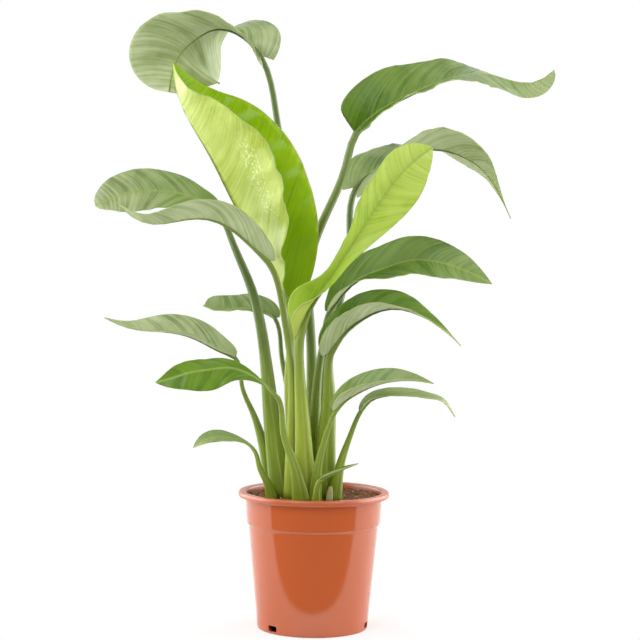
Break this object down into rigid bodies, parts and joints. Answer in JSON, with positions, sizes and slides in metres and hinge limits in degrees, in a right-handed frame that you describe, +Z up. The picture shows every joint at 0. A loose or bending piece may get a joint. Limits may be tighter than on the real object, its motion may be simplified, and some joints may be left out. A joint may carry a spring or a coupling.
{
  "type": "potted bird of paradise plant",
  "caption": "Potted bird of paradise: broad folded leaves on upright stalks that rise from one clump in a round tapered nursery pot.",
  "frame": {"origin": "centre of the pot's flat underside", "axes": "+Z up along the pot's axis, -Y towards the front, +X to the right seen from the front"},
  "size_m": [0.6412, 0.2659, 0.8543],
  "materials": {
    "pot": "glossy terracotta orange, moulded",
    "soil": "matt, coarse brown potting mix of bark and fibre",
    "leaf": "waxy semi-gloss green, paler beneath",
    "young_leaf": "waxy semi-gloss yellow-green",
    "stalk": "smooth satin green",
    "old_sheath": "dry matt straw"
  },
  "bodies": {
    "root": {"pot": "pot", "soil": "soil", "old_sheath": "old_sheath", "stalk_top_left": "stalk", "blade_top_left": "leaf", "stalk_centre": "stalk", "blade_centre": "young_leaf", "stalk_top_right": "stalk", "blade_top_right": "leaf", "stalk_upper_right_back": "stalk", "blade_upper_right_back": "leaf", "stalk_upper_right": "stalk", "blade_upper_right": "young_leaf", "stalk_right": "stalk", "blade_right": "leaf", "stalk_middle_right": "stalk", "blade_middle_right": "leaf", "stalk_lower_right": "stalk", "blade_lower_right": "leaf", "stalk_lowest_right": "stalk", "blade_lowest_right": "leaf", "stalk_upper_left_back": "stalk", "blade_upper_left_back": "leaf", "stalk_upper_left": "stalk", "blade_upper_left": "leaf", "stalk_left_back": "stalk", "blade_left_back": "leaf", "stalk_left": "stalk", "blade_left": "leaf", "stalk_lower_left": "stalk", "blade_lower_left": "leaf", "stalk_lowest_left": "stalk", "blade_lowest_left": "leaf", "stalk_shoot": "stalk", "blade_shoot": "leaf"}
  },
  "joints": []
}
